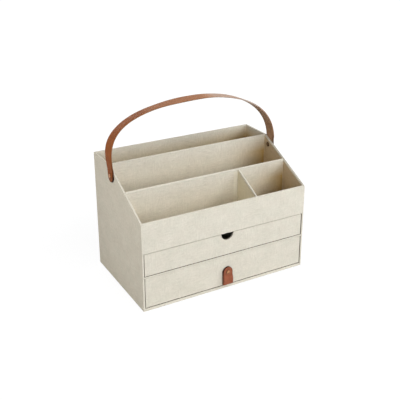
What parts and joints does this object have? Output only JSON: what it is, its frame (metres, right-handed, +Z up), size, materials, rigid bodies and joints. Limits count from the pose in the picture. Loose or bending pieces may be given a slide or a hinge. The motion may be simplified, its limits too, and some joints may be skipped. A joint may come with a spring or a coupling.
{
  "type": "file box with drawers",
  "caption": "Paper-covered desk file box with stepped open pockets, full-width drawers below and a riveted leather carrying strap.",
  "frame": {"origin": "on the surface the box stands on, under the middle of its width and depth", "axes": "+X to the right seen from the front, +Y from the front to the back, +Z up"},
  "size_m": [0.3396, 0.2057, 0.3257],
  "materials": {
    "fibreboard": "matte",
    "covered_board": "matte",
    "covering_paper": "matte",
    "lining_paper": "matte",
    "tan_leather": "satin",
    "copper_rivets": "satin"
  },
  "bodies": {
    "box": {"left_side_board": "fibreboard", "right_side_board": "fibreboard", "back_board": "fibreboard", "front_board": "fibreboard", "base_board": "fibreboard", "lower_bay_floor": "fibreboard", "drawer_shelf": "fibreboard", "pocket_floor": "fibreboard", "rear_divider": "covered_board", "middle_divider": "covered_board", "cross_divider": "covered_board", "cross_divider_facing": "covering_paper", "outer_paper": "covering_paper", "base_paper": "lining_paper", "rear_pocket_lining": "lining_paper", "middle_pocket_lining": "lining_paper", "left_pocket_lining": "lining_paper", "right_pocket_lining": "lining_paper", "handle_rivets": "copper_rivets", "handle_rivet_caps": "copper_rivets"},
    "handle": {"handle_strap": "tan_leather"},
    "upper_drawer": {"upper_drawer_front": "fibreboard", "upper_drawer_left": "fibreboard", "upper_drawer_right": "fibreboard", "upper_drawer_back": "fibreboard", "upper_drawer_bottom": "fibreboard", "upper_drawer_paper": "covering_paper", "upper_drawer_lining": "lining_paper"},
    "lower_drawer": {"lower_drawer_front": "fibreboard", "lower_drawer_left": "fibreboard", "lower_drawer_right": "fibreboard", "lower_drawer_back": "fibreboard", "lower_drawer_bottom": "fibreboard", "lower_drawer_paper": "covering_paper", "lower_drawer_lining": "lining_paper", "pull_rivet": "copper_rivets", "pull_rivet_cap": "copper_rivets"},
    "pull": {"pull_tab": "tan_leather"}
  },
  "joints": [
    {"name": "upper_drawer_slide", "type": "slide", "parent": "box", "child": "upper_drawer", "axis": [0, -1, 0], "range_m": [0, 0.175]},
    {"name": "lower_drawer_slide", "type": "slide", "parent": "box", "child": "lower_drawer", "axis": [0, -1, 0], "range_m": [0, 0.175]},
    {"name": "handle_swing", "type": "hinge", "parent": "box", "child": "handle", "pos_m": [0, 0.0172, 0.2095], "axis": [1, 0, 0], "range_deg": [-26, 76]},
    {"name": "pull_swivel", "type": "hinge", "parent": "lower_drawer", "child": "pull", "pos_m": [0, -0.1, 0.0328], "axis": [0, 1, 0], "range_deg": [-25, 25]}
  ]
}
